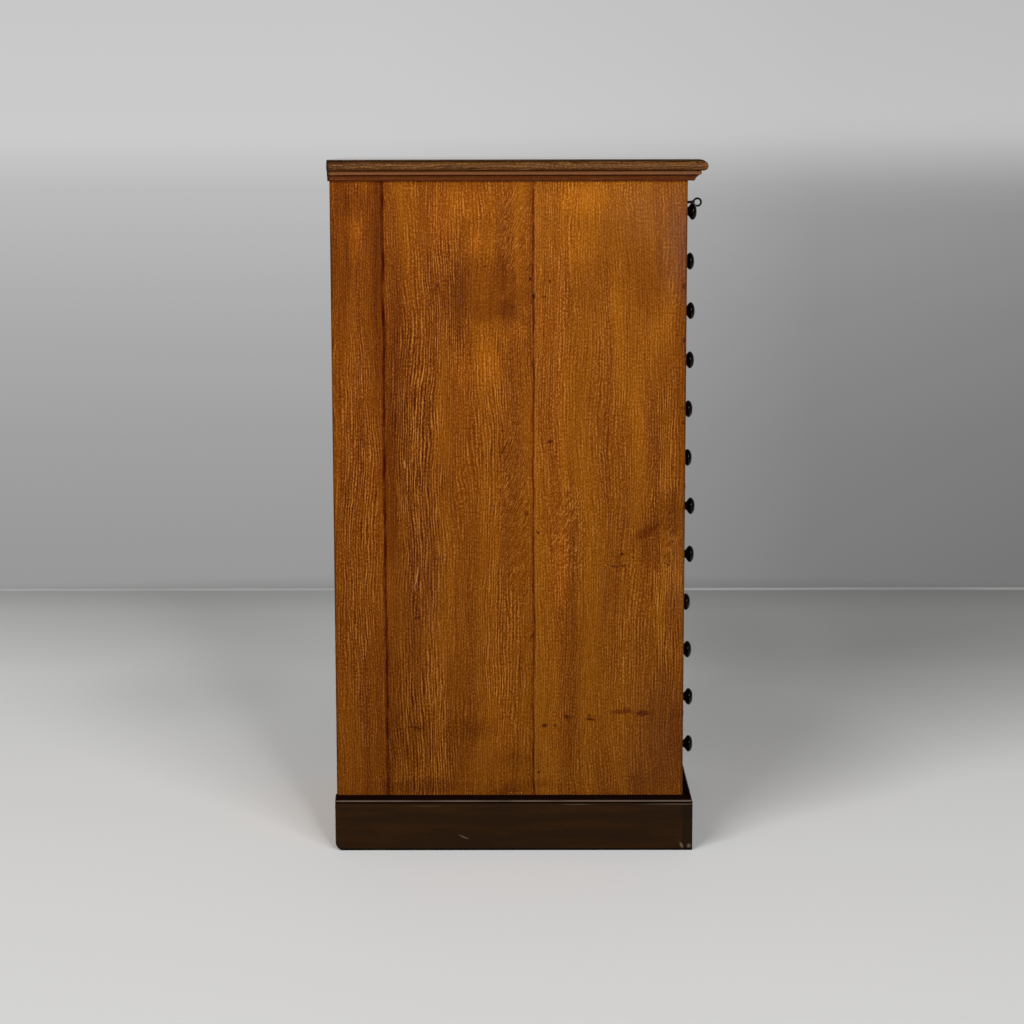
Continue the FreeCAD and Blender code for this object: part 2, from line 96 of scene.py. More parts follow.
def woodGrain(tree, vector, look, combing=0.6, leaning=None):
    # wanders the grain sideways, then lays tone, bands, speckle, pores and combed streaks over each other
    sway, bend, curl = look["sway"] * mm, look["bend"] * mm, look["curl"] * mm
    slow = streaks(tree, vector, look["swaySize"], 1.0, (0.2, 0.8), (-sway, sway))
    quick = streaks(tree, vector, look["bendSize"], 1.0, (0.2, 0.8), (-bend, bend))
    wavy = streaks(tree, vector, look["curlSize"], 0.0, (0.2, 0.8), (-curl, curl))
    push = add(tree, "Math", {0: slow, 1: quick}, operation="ADD")
    push = add(tree, "Math", {0: push, 1: wavy}, operation="ADD")
    push = add(tree, "CombineXYZ", {0: push})
    bent = add(tree, "VectorMath", {0: vector, 1: push}, operation="ADD")
    tone = streaks(tree, bent, look["toneSize"], 3.0, (0.34, 0.66))
    band = streaks(tree, bent, look["bandSize"], 3.0, (0.34, 0.66))
    warm = add(tree, "Mix", {0: look["bandShare"], 2: tone, 3: band}, data_type="FLOAT")
    colour = add(tree, "Mix", {0: warm, 6: linear(look["dark"]), 7: linear(look["light"])}, out=2, **tinted)
    middle = linear(look["middle"])
    colour = add(tree, "Mix", {0: look["middleShare"], 6: colour, 7: middle}, out=2, **tinted)
    # fine lines at one spacing, each broken along its length
    parts = add(tree, "SeparateXYZ", {0: bent}).node.outputs
    turns = 2 * math.pi / (look["lineApart"] * mm)
    uneven = streaks(tree, bent, look["unevenSize"], 1.0, (0.25, 0.75), (-look["uneven"], look["uneven"]))
    lines = add(tree, "Math", {0: parts[0], 1: turns, 2: uneven}, operation="MULTIPLY_ADD")
    lines = add(tree, "Math", {0: lines}, operation="SINE")
    broken = streaks(tree, bent, look["lineSize"], 1.0, (0.36, 0.66), (0.1, 1.0))
    comb = add(tree, "Math", {0: lines, 1: broken}, operation="MULTIPLY")
    if leaning is not None:
        # short strokes that lean over, only where asked for
        over = add(tree, "Math", {0: parts[1], 1: look["lean"], 2: parts[0]}, operation="MULTIPLY_ADD")
        slanted = add(tree, "CombineXYZ", {0: over, 1: parts[1], 2: parts[2]})
        strokes = streaks(tree, slanted, look["strokeSize"], 1.0, (0.3, 0.7), (-1.0, 1.0))
        comb = add(tree, "Mix", {0: leaning, 2: comb, 3: strokes}, data_type="FLOAT")
    comb = add(tree, "Math", {0: comb, 1: combing}, operation="MULTIPLY")
    # the speckle is stronger where the combing is
    speck = look["speckle"]
    grit = streaks(tree, bent, look["gritSize"], 0.5, (0.25, 0.75), (-speck, speck))
    rough = add(tree, "Math", {0: combing, 1: 0.45, 2: 0.6}, operation="MULTIPLY_ADD")
    comb = add(tree, "Math", {0: grit, 1: rough, 2: comb}, operation="MULTIPLY_ADD")
    pale = add(tree, "MapRange", {0: comb, 1: 0.0, 2: 1.0, 3: 0.0, 4: look["pale"]})
    deep = add(tree, "MapRange", {0: comb, 1: 0.0, 2: -1.0, 3: 0.0, 4: look["deep"]})
    pores = streaks(tree, bent, look["poreSize"], 1.0, (0.60, 0.72), (0.0, look["pores"]))
    layers = ((deep, look["soak"], multiplied), (pale, look["fleck"], tinted), (pores, look["pore"], tinted))
    for amount, tint, how in layers:
        colour = add(tree, "Mix", {0: amount, 6: colour, 7: linear(tint)}, out=2, **how)
    raised = add(tree, "Math", {0: comb, 1: 0.5, 2: 0.5}, operation="MULTIPLY_ADD")
    relief = add(tree, "Math", {0: raised, 1: pores}, operation="SUBTRACT")
    return colour, relief


def polish(tree, shader, colour, relief, look):
    # the hollows of the grain are a little duller than its ridges
    tree.links.new(colour, shader.inputs["Base Color"])
    shader.inputs["Specular IOR Level"].default_value = look["specular"]
    gloss = look["roughness"]
    matt = add(tree, "MapRange", {0: relief, 1: 0.2, 2: 0.8, 3: gloss + 0.1, 4: gloss})
    tree.links.new(matt, shader.inputs["Roughness"])
    bump = add(tree, "Bump", {"Height": relief, "Distance": look["bump"], "Strength": 0.5})
    tree.links.new(bump, shader.inputs["Normal"])


def plainWood(name, order, look):
    material, tree, shader = newMaterial(name)
    vector = grainSpace(tree, order)[0]
    colour, relief = woodGrain(tree, vector, look)
    polish(tree, shader, colour, relief, look)
    return material


def gathered(tree, place, marks):
    # soft ovals on one flat face, each (from back, height, half width, half height, turn, core, strength) in
    # millimetres and degrees; the strongest of them wins
    total = None
    for fromBack, height, halfWide, halfHigh, turn, core, strength in marks:
        centre = (fromBack * mm, height * mm, 0.0)
        away = add(tree, "VectorMath", {0: place, 1: centre}, operation="SUBTRACT")
        if turn:
            turned = {"Vector": away, "Angle": math.radians(-turn)}
            away = add(tree, "VectorRotate", turned, rotation_type="Z_AXIS")
        size = (1 / (halfWide * mm), 1 / (halfHigh * mm), 0.0)
        ratio = add(tree, "VectorMath", {0: away, 1: size}, operation="MULTIPLY")
        far = add(tree, "VectorMath", {0: ratio}, out="Value", operation="LENGTH")
        mark = add(tree, "MapRange", {0: far, 1: core, 2: 1.2, 3: strength, 4: 0.0}, **soft)
        total = mark if total is None else add(tree, "Math", {0: total, 1: mark}, operation="MAXIMUM")
    return total


# A side is three glued boards that have darkened and been knocked about. Distances are from the back and
# from the floor, in millimetres.
sideLook = dict(oakLook)
sideLook.update({
    "seams": (75, 288), "boards": ("#f0e6de", "#f6f0ea", "#ffffff"), "grainShift": (0.37, 1.9, 0.0),
    "seamTint": "#964412", "stain": "#ac8b5e", "bruise": "#7c4526", "dirtAndShade": "#1a0801", "wornAndHighlight": "#b98550",
    "film": "#3a2d2f",
    "foot": 0.62, "footSpan": (80, 860),  # painted shade, darker toward the floor
    "lightUnderMoulding": 2.0, "lightUnderMouldingSpan": (963.5, 969),  # painted light, paler just under the moulding where its shadow falls
    "leastCombing": 0.42, "plainCombing": 0.75, "patchSize": (22, 60),
    "ragged": 6, "raggedScale": 90.0,  # how far and how often the outlines of the marks wander
    "wander": 1.6, "wanderSize": (300, 60), "fadeSize": (200, 42), "streakSpan": (600, 760),
    # at, half width of the core, reach, strength: two lines for the rear seam, then three for the front one,
    # the last a faint pale line that is a painted highlight
    "seamLines": [
        (69, 2, 16, 0.66), (74, 0.6, 3.8, 1.0),
        (287.2, 0.6, 2.6, 0.8), (288, 2, 8, 0.14), (291, 0.4, 2, 0.06),
    ],
    "arrisReach": (4.0, 3.5), "arrisDirt": 0.7, "glow": 1.5,
    "combs": [  # where the streaks are strongest
        (124, 560, 50, 330, 2, 0.3, 1.25), (126, 180, 62, 200, 3, 0.3, 1.2),
        (478, 430, 32, 420, 0, 0.3, 0.95), (36, 480, 42, 400, 0, 0.3, 0.95),
        (345, 470, 40, 130, 0, 0.2, 0.75), (160, 800, 56, 150, 4, 0.2, 0.95),
        (240, 300, 60, 220, 0, 0.2, 0.85), (420, 300, 60, 200, 0, 0.2, 0.6),
        (230, 620, 50, 260, 0, 0.3, 0.75),
    ],
    "leans": [  # where they lean over
        (258, 900, 30, 90, 0, 0.3, 0.85), (262, 520, 27, 175, 0, 0.3, 0.85),
        (335, 480, 50, 90, 0, 0.2, 0.5), (480, 462, 24, 66, 0, 0.2, 0.5),
    ],
    "calm": [  # where they drown in the stain
        (232, 806, 46, 56, 0, 0.4, 0.65), (450, 880, 76, 90, 0, 0.3, 0.3),
    ],
    "shades": [  # broad and soft
        (84, 545, 12, 190, 0, 0.5, 0.7), (85, 240, 12, 160, 0, 0.5, 0.5), (14, 880, 20, 190, 0, 0.3, 0.6),
        (57, 850, 15, 170, 0, 0.3, 0.45), (94, 700, 22, 230, 0, 0.3, 0.55),
        (90, 330, 20, 270, 0, 0.3, 0.42), (113, 300, 16, 300, 0, 0.3, 0.42),
        (138, 470, 14, 190, 0, 0.3, 0.36), (176, 180, 18, 160, 0, 0.3, 0.3),
        (178, 815, 22, 50, 0, 0.1, 0.4), (445, 830, 48, 75, 0, 0.2, 0.5), (372, 820, 40, 60, 0, 0.2, 0.28),
        (150, 800, 40, 60, 0, 0.2, 0.3), (345, 300, 60, 200, 0, 0.2, 0.16),
        (476, 640, 30, 130, 0, 0.3, 0.36), (478, 190, 32, 130, 0, 0.3, 0.46),
        (498, 700, 12, 300, 0, 0.3, 0.5), (498, 180, 12, 130, 0, 0.3, 0.55),
        (484, 502, 27, 50, 0, 0.3, 0.55), (492, 340, 20, 62, 0, 0.3, 0.5),
        (428, 800, 18, 130, 0, 0.3, 0.34), (128, 94, 74, 15, 0, 0.4, 0.5), (128, 160, 18, 50, 0, 0.3, 0.36),
        (158, 545, 18, 60, 0, 0.3, 0.3), (276, 96, 60, 8, 0, 0.3, 0.3),
    ],
    "glows": [  # where the shellac is thinner
        (156, 918, 21, 56, 0, 0.3, 0.55), (245, 950, 26, 20, 0, 0.3, 0.36),
        (300, 740, 14, 80, 0, 0.3, 0.34), (323, 400, 18, 330, 0, 0.3, 0.42),
        (326, 415, 15, 90, 0, 0.3, 0.95), (446, 390, 30, 50, 0, 0.2, 0.14),
        (190, 650, 18, 50, 0, 0.3, 0.24), (206, 884, 13, 24, 0, 0.3, 0.45), (267, 757, 15, 13, 0, 0.3, 0.4),
        (325, 640, 15, 310, 0, 0.2, 0.4), (188, 938, 60, 30, 0, 0.2, 0.5), (350, 944, 56, 28, 0, 0.2, 0.55),
        (186, 700, 18, 40, 0, 0.2, 0.5), (232, 200, 26, 120, 0, 0.2, 0.35), (220, 712, 24, 42, 6, 0.1, 0.5),
        (250, 750, 20, 12, -15, 0.1, 0.3), (34, 900, 12, 60, 0, 0.2, 0.4), (330, 880, 60, 60, 0, 0.1, 0.22),
        (300, 560, 22, 180, 0, 0.1, 0.22), (190, 560, 34, 60, 0, 0.1, 0.2),
    ],
    "stains": [  # spills, and the grime of hands by the front edge
        (246, 790, 23, 21, 0, 0.3, 0.62), (240, 836, 17, 46, 0, 0.3, 0.52), (216, 789, 32, 22, 0, 0.5, 0.5),
        (184, 800, 18, 88, 0, 0.3, 0.42), (213, 822, 50, 50, 0, 0.5, 0.42), (268, 806, 16, 26, 0, 0.2, 0.2),
        (196, 862, 46, 22, 0, 0.1, 0.16), (148, 816, 12, 10, 0, 0.1, 0.30),
        (199, 177, 34, 22, 0, 0.1, 0.42), (465, 102, 34, 44, 0, 0.1, 0.46),
        (452, 470, 30, 13, 36, 0.2, 0.8), (484, 440, 20, 46, 0, 0.1, 0.3), (417, 204, 22, 5, 4, 0.3, 0.75),
        (446, 202, 12, 5.5, 0, 0.4, 1.0), (130, 640, 30, 110, 0, 0.1, 0.2), (262, 132, 40, 22, 0, 0.1, 0.3),
        (118, 182, 16, 8, 0, 0.1, 0.4), (335, 196, 8, 5, -30, 0.3, 0.6), (252, 86, 30, 9, 0, 0.1, 0.6),
        (350, 690, 26, 190, 0, 0.1, 0.22), (30, 860, 14, 60, 0, 0.2, 0.3),
        (496, 500, 22, 110, 0, 0.2, 0.28), (497, 290, 14, 60, 0, 0.2, 0.22),
        (400, 880, 50, 60, 0, 0.2, 0.26), (34, 938, 24, 30, 0, 0.3, 0.46), (124, 725, 20, 44, 0, 0.2, 0.28),
        (98, 165, 16, 110, 0, 0.2, 0.22), (124, 555, 24, 55, 0, 0.2, 0.3), (8, 680, 10, 70, 0, 0.2, 0.3),
        (440, 100, 20, 26, 0, 0.2, 0.4), (235, 590, 26, 60, 0, 0.2, 0.2), (466, 180, 42, 150, 0, 0.2, 0.18),
        (455, 455, 24, 60, 0, 0.2, 0.38), (455, 310, 24, 40, 0, 0.2, 0.2),
        (140, 420, 26, 110, 0, 0.2, 0.16),
    ],
    "blooms": [  # milky
        (497, 890, 40, 100, 0, 0.1, 0.3), (450, 925, 60, 60, 0, 0.1, 0.14),
        (470, 160, 64, 150, 0, 0.1, 0.05), (497, 400, 24, 130, 0, 0.1, 0.06),
        (138, 380, 46, 190, 0, 0.1, 0.03),
    ],
    "bruises": [  # dents and short scratches
        (283, 833, 2.6, 2.4, 0, 0.4, 0.9), (311, 828, 2.4, 2.2, 0, 0.4, 0.85),
        (288, 807, 2.4, 5, 0, 0.4, 0.85), (301, 807, 4.6, 2.0, 0, 0.5, 0.5),
        (152, 824, 2.6, 2.8, 0, 0.3, 0.75), (218, 849, 2.4, 2.2, 0, 0.4, 0.8),
        (88, 849, 2.4, 4.4, 0, 0.3, 0.5), (311, 600, 5.2, 2.8, 0, 0.3, 0.8),
        (294, 469, 2.2, 3.6, 20, 0.4, 0.9), (278, 496, 2.2, 6, -12, 0.3, 0.7),
        (415, 437, 3.2, 2.6, 0, 0.3, 0.85), (430, 431, 3.4, 1.3, 0, 0.4, 0.6),
        (404, 419, 7, 1.4, -14, 0.4, 0.85), (416, 419, 7, 1.4, 14, 0.4, 0.85),
        (401, 436, 6, 1.2, -50, 0.3, 0.6), (481, 421, 2.2, 2.0, 0, 0.4, 0.7),
        (194, 342, 2.0, 2.0, 0, 0.3, 0.6), (120, 343, 6, 2.4, 25, 0.2, 0.7),
        (303, 184, 5.4, 2.8, 0, 0.4, 0.8), (319, 184, 3.2, 2.0, 20, 0.4, 0.75),
        (335, 197, 5, 1.8, -50, 0.3, 0.7), (370, 193, 7.6, 2.4, 0, 0.4, 0.85),
        (369, 198, 3.0, 3.4, -40, 0.3, 0.7), (118, 180, 9, 1.8, -12, 0.2, 0.6),
        (295, 114, 2.4, 2.2, 0, 0.4, 0.9), (244, 588, 1.2, 18, -24, 0.4, 0.75),
        (280, 847, 1.2, 10, -32, 0.4, 0.6), (285, 315, 1.4, 10, -32, 0.4, 0.75),
        (75, 176, 1.5, 26, 2, 0.4, 0.7), (501, 820, 3, 6, 0, 0.3, 0.7), (502, 745, 3, 6, 0, 0.3, 0.7),
        (501, 647, 4, 3, 0, 0.3, 0.6), (502, 627, 3, 4, 0, 0.3, 0.7), (272, 880, 1.2, 14, -30, 0.3, 0.4),
        (279, 770, 1.1, 12, -30, 0.3, 0.4), (277, 380, 1.2, 13, -30, 0.3, 0.5),
    ],
    "scuffs": [  # bare wood in small chips
        (103, 568, 1.6, 7, 8, 0.3, 0.4), (118, 400, 0.8, 20, -8, 0.4, 0.4),
        (254, 82.4, 0.9, 0.9, 0, 0.4, 0.6), (262, 82.0, 0.8, 0.8, 0, 0.4, 0.6),
        (269, 83.0, 0.9, 1.0, 0, 0.4, 0.6),
    ],
})


def sideOak(name, marked):
    # the unmarked side has the boards, the seams and the dirt, and none of the knocks
    material, tree, shader = newMaterial(name)
    look = sideLook
    vector, parts = grainSpace(tree, "YZX")
    fromBack = add(tree, "Math", {0: caseBack, 1: parts["Y"]}, operation="SUBTRACT")
    face = add(tree, "CombineXYZ", {0: fromBack, 1: parts["Z"]})
    wobble = {"Vector": face, "Scale": look["raggedScale"], "Detail": 2.0}
    wobble = add(tree, "TexNoise", wobble, out="Color")
    nudge = add(tree, "VectorMath", {0: wobble, 1: (0.5, 0.5, 0.5)}, operation="SUBTRACT")
    ragged = (look["ragged"] * mm, look["ragged"] * mm, 0.0)
    ragged = add(tree, "VectorMath", {0: nudge, 1: ragged, 2: face}, operation="MULTIPLY_ADD")
    rearSeam, foreSeam = look["seams"]
    pastRear = add(tree, "Math", {0: fromBack, 1: rearSeam * mm}, operation="GREATER_THAN")
    pastFore = add(tree, "Math", {0: fromBack, 1: foreSeam * mm}, operation="GREATER_THAN")
    board = add(tree, "Math", {0: pastRear, 1: pastFore}, operation="ADD")
    apart = add(tree, "VectorMath", {0: look["grainShift"], "Scale": board}, operation="SCALE")
    own = add(tree, "VectorMath", {0: vector, 1: apart}, operation="ADD")
    combing = gathered(tree, ragged, look["combs"])
    combing = add(tree, "Math", {0: combing, 1: look["leastCombing"]}, operation="MAXIMUM")
    patchy = streaks(tree, own, look["patchSize"], 2.0, (0.3, 0.6), (0.6, 1.0))
    combing = add(tree, "Math", {0: combing, 1: patchy}, operation="MULTIPLY")
    calm = look["plainCombing"]
    if marked:
        calm = add(tree, "MapRange", {0: gathered(tree, ragged, look["calm"]), 3: 1.0, 4: 0.0})
    combing = add(tree, "Math", {0: combing, 1: calm}, operation="MULTIPLY")
    colour, relief = woodGrain(tree, own, look, combing, gathered(tree, ragged, look["leans"]))
    rear, centre, fore = (linear(tint) for tint in look["boards"])
    tint = add(tree, "Mix", {0: pastRear, 6: rear, 7: centre}, out=2, **tinted)
    tint = add(tree, "Mix", {0: pastFore, 6: tint, 7: fore}, out=2, **tinted)
    colour = add(tree, "Mix", {0: 1.0, 6: colour, 7: tint}, out=2, **multiplied)
    # painted shade, darker toward the floor; painted light just under the moulding, paler where its shadow
    # falls
    changes = ((look["footSpan"], look["foot"], 1.0), (look["lightUnderMouldingSpan"], 1.0, look["lightUnderMoulding"]))
    for span, below, above in changes:
        limits = {1: span[0] * mm, 2: span[1] * mm, 3: below, 4: above}
        level = add(tree, "MapRange", {0: parts["Z"], **limits})
        colour = add(tree, "VectorMath", {0: colour, "Scale": level}, operation="SCALE")
    # the rear glue line stands in a broad dark streak; the front one is a fine line that wanders, with a
    # faint painted highlight just in front of it
    wander = look["wander"] * mm
    wander = streaks(tree, vector, look["wanderSize"], 3.0, (0.2, 0.8), (-wander, wander))
    strays = add(tree, "Math", {0: fromBack, 1: wander}, operation="ADD")
    fades = streaks(tree, vector, look["fadeSize"], 2.0, (0.35, 0.62), (0.55, 1.0))
    seams = []
    for at, core, reach, strength in look["seamLines"]:
        gap = add(tree, "Math", {0: strays, 1: at * mm}, operation="SUBTRACT")
        gap = add(tree, "Math", {0: gap}, operation="ABSOLUTE")
        limits = {1: core * mm, 2: reach * mm, 3: strength, 4: 0.0}
        seams.append(add(tree, "MapRange", {0: gap, **limits}, **soft))
    span = {1: look["streakSpan"][0] * mm, 2: look["streakSpan"][1] * mm, 3: 0.1, 4: 1.0}
    high = add(tree, "MapRange", {0: parts["Z"], **span}, **soft)
    broad = add(tree, "Math", {0: seams[0], 1: high}, operation="MULTIPLY")
    thin = add(tree, "Math", {0: seams[1], 1: seams[2]}, operation="MAXIMUM")
    thin = add(tree, "Math", {0: thin, 1: fades}, operation="MULTIPLY")
    thin = add(tree, "Math", {0: thin, 1: seams[3]}, operation="MAXIMUM")
    layers = [(broad, "stain", multiplied), (thin, "seamTint", multiplied), (seams[4], "wornAndHighlight", tinted)]
    if marked:
        layers.append((gathered(tree, ragged, look["shades"]), "stain", multiplied))
    for amount, shade, how in layers:
        colour = add(tree, "Mix", {0: amount, 6: colour, 7: linear(look[shade])}, out=2, **how)
    if marked:
        lit = add(tree, "MapRange", {0: gathered(tree, ragged, look["glows"]), 3: 1.0, 4: look["glow"]})
        colour = add(tree, "VectorMath", {0: colour, "Scale": lit}, operation="SCALE")
        for marks, shade, how in (("stains", "stain", multiplied), ("blooms", "film", tinted),
                                  ("bruises", "bruise", multiplied), ("scuffs", "wornAndHighlight", tinted)):
            amount = gathered(tree, ragged, look[marks])
            colour = add(tree, "Mix", {0: amount, 6: colour, 7: linear(look[shade])}, out=2, **how)
    # dirt on the rear and front arris, on the broad face only
    deep = caseBack - sideLow.y
    rearReach, foreReach = (reach * mm for reach in look["arrisReach"])
    edge = add(tree, "MapRange", {0: fromBack, 1: 0.0, 2: rearReach, 3: look["arrisDirt"], 4: 0.0}, **soft)
    limits = {1: deep - foreReach, 2: deep, 3: 0.0, 4: look["arrisDirt"]}
    fore = add(tree, "MapRange", {0: fromBack, **limits}, **soft)
    edge = add(tree, "Math", {0: edge, 1: fore}, operation="MAXIMUM")
    facing = add(tree, "SeparateXYZ", {0: add(tree, "TexCoord", {}, out="Normal")})
    facing = add(tree, "Math", {0: facing}, operation="ABSOLUTE")
    edge = add(tree, "Math", {0: edge, 1: facing}, operation="MULTIPLY")
    colour = add(tree, "Mix", {0: edge, 6: colour, 7: linear(look["dirtAndShade"])}, out=2, **tinted)
    polish(tree, shader, colour, relief, look)
    return material


def banded(tree, height, levels):
    # level lines on a moulding, each (height, half width, strength) in millimetres, the strongest winning
    total = None
    for level, halfWide, strength in levels:
        gap = add(tree, "Math", {0: height, 1: level * mm}, operation="SUBTRACT")
        gap = add(tree, "Math", {0: gap}, operation="ABSOLUTE")
        limits = {1: halfWide * mm * 0.4, 2: halfWide * mm, 3: strength, 4: 0.0}
        line = add(tree, "MapRange", {0: gap, **limits}, **soft)
        total = line if total is None else add(tree, "Math", {0: total, 1: line}, operation="MAXIMUM")
    return total


# Drawer fronts: the same oak cut level and calmer, each front from its own piece, a little lighter or darker
frontLook = dict(oakLook, curl=0.2, bend=0.8, speckle=0.26, lineSize=(2.6, 60), gritSize=(1.5, 9))
frontLook.update(across="Z", start=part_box("drawer_12_front")[0].z - 4.5 * mm, pitch=0.072)
frontLook.update(grainShift=(0.0, 0.83, 0.31), combing=0.45, least=0.84, most=1.1, joint=0.0)


def separateBoards(name, order, look):
    # equal boards in a row, each with a grain and a shade of its own
    material, tree, shader = newMaterial(name)
    vector, parts = grainSpace(tree, order)
    fromStart = add(tree, "Math", {0: parts[look["across"]], 1: look["start"]}, operation="SUBTRACT")
    along = add(tree, "Math", {0: fromStart, 1: 1 / look["pitch"]}, operation="MULTIPLY")
    number = add(tree, "Math", {0: along}, operation="FLOOR")
    apart = add(tree, "VectorMath", {0: look["grainShift"], "Scale": number}, operation="SCALE")
    own = add(tree, "VectorMath", {0: vector, 1: apart}, operation="ADD")
    colour, relief = woodGrain(tree, own, look, look["combing"])
    chance = add(tree, "TexWhiteNoise", {"W": number}, noise_dimensions="1D")
    shade = add(tree, "MapRange", {0: chance, 3: look["least"], 4: look["most"]})
    if look["joint"]:
        # dirt in the joints between the boards
        middle = add(tree, "Math", {0: along, 1: number}, operation="SUBTRACT")
        middle = add(tree, "Math", {0: middle, 1: 0.5}, operation="SUBTRACT")
        middle = add(tree, "Math", {0: middle}, operation="ABSOLUTE")
        clean = 0.5 - look["joint"] * mm / look["pitch"]
        dirtyAndShaded = add(tree, "MapRange", {0: middle, 1: clean, 2: 0.5, 3: 1.0, 4: look["jointShade"]}, **soft)
        shade = add(tree, "Math", {0: shade, 1: dirtyAndShaded}, operation="MULTIPLY")
    colour = add(tree, "VectorMath", {0: colour, "Scale": shade}, operation="SCALE")
    polish(tree, shader, colour, relief, look)
    return material


# The top and its moulding: darker oak with more polish. Painted shade lies in the hollows as dark lines, and
# the flat of the top is polished like a table.
edgeLook = dict(oakLook, light="#553411", middle="#422509", dark="#2e1706", pore="#100601", fleck="#7c552c")
edgeLook.update({
    "roughness": 0.3, "specular": 0.09, "pale": 0.7, "deep": 0.85, "speckle": 0.5, "hollow": "#380a01",
    "lines": [(984.4, 1.4, 0.9), (977.8, 1.5, 0.9), (970.6, 1.6, 0.9)], "sootAndShade": "#0d0501",
    "rim": [(998.7, 2.9, 1.0)], "rimFacing": (0.84, 0.985), "endSpan": (-0.5, 2.5), "endSoot": 0.9,
    "dashes": [(186, 989, 44, 2.6, 0, 0.5, 0.9)], "dashSize": (1.6, 16),
    "rubbedAndPaintedLight": [((981.2, 3.0, 0.6), "#6b3f1d"), ((974.4, 4.0, 0.6), "#582501")],  # fillet and cove, painted light: each coloured to the brightness its face shows in the light, paler on the upright fillet
})
topLook = dict(oakLook, light="#7b4713", middle="#66380d", dark="#4a2405", roughness=0.07, specular=0.5)
topLook.update(skin=0.05)  # how near the top's height the flat begins, in millimetres


def moulding(name, order, look, flat=None):
    # the grain runs along X in front and along Y at both ends, with a mitre between them
    material, tree, shader = newMaterial(name)
    vector, parts = grainSpace(tree, order)
    colour, relief = woodGrain(tree, vector, look)
    ends = add(tree, "CombineXYZ", {0: parts["Z"], 1: parts["Y"], 2: parts["X"]})
    endColour, endRelief = woodGrain(tree, ends, look)
    out = add(tree, "Math", {0: parts["X"]}, operation="ABSOLUTE")
    out = add(tree, "Math", {0: out, 1: -sideLow.x}, operation="SUBTRACT")
    ahead = add(tree, "Math", {0: sideLow.y, 1: parts["Y"]}, operation="SUBTRACT")
    ahead = add(tree, "Math", {0: ahead, 1: 0.0}, operation="MAXIMUM")
    atEnd = add(tree, "Math", {0: out, 1: ahead}, operation="GREATER_THAN")
    colour = add(tree, "Mix", {0: atEnd, 6: colour, 7: endColour}, out=2, **tinted)
    relief = add(tree, "Mix", {0: atEnd, 2: relief, 3: endRelief}, data_type="FLOAT")
    fromBack = add(tree, "Math", {0: caseBack, 1: parts["Y"]}, operation="SUBTRACT")
    spot = gathered(tree, add(tree, "CombineXYZ", {0: fromBack, 1: parts["Z"]}), look["dashes"])
    dashes = streaks(tree, ends, look["dashSize"], 1.0, (0.5, 0.62))
    spot = add(tree, "Math", {0: spot, 1: dashes}, operation="MULTIPLY")
    layers = [(spot, look["sootAndShade"])]
    # painted light: the fillet and the cove are coloured to how bright each face shows in the light
    layers += [(banded(tree, parts["Z"], [line]), shade) for line, shade in look["rubbedAndPaintedLight"]]
    # painted shade in the hollows between the nose, the fillet and the cove
    layers.append((banded(tree, parts["Z"], look["lines"]), look["hollow"]))
    # the black line along the top of the nosing, painted shade, stops where the wood turns level
    facing = add(tree, "SeparateXYZ", {0: add(tree, "TexCoord", {}, out="Normal")}).node.outputs
    fades, gone = look["rimFacing"]
    steep = add(tree, "MapRange", {0: facing[2], 1: fades, 2: gone, 3: 1.0, 4: 0.0}, **soft)
    rim = add(tree, "Math", {0: banded(tree, parts["Z"], look["rim"]), 1: steep}, operation="MULTIPLY")
    # soot on the rear end of each length, seen from the side
    sooty, clean = (reach * mm for reach in look["endSpan"])
    end = add(tree, "MapRange", {0: fromBack, 1: sooty, 2: clean, 3: look["endSoot"], 4: 0.0}, **soft)
    sideways = add(tree, "Math", {0: facing[0]}, operation="ABSOLUTE")
    end = add(tree, "Math", {0: end, 1: sideways}, operation="MULTIPLY")
    layers += [(rim, look["sootAndShade"]), (end, look["sootAndShade"])]
    for amount, shade in layers:
        colour = add(tree, "Mix", {0: amount, 6: colour, 7: linear(shade)}, out=2, **tinted)
    polish(tree, shader, colour, relief, look)
    if flat:
        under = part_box("top_board")[1].z - flat["skin"] * mm
        level = add(tree, "Math", {0: parts["Z"], 1: under}, operation="GREATER_THAN")
        plain = woodGrain(tree, vector, flat)[0]
        colour = add(tree, "Mix", {0: level, 6: colour, 7: plain}, out=2, **tinted)
        tree.links.new(colour, shader.inputs["Base Color"])
        matt = shader.inputs["Roughness"].links[0].from_socket
        matt = add(tree, "Mix", {0: level, 2: matt, 3: flat["roughness"]}, data_type="FLOAT")
        tree.links.new(matt, shader.inputs["Roughness"])
        gloss = add(tree, "MapRange", {0: level, 3: look["specular"], 4: flat["specular"]})
        tree.links.new(gloss, shader.inputs["Specular IOR Level"])
    return material


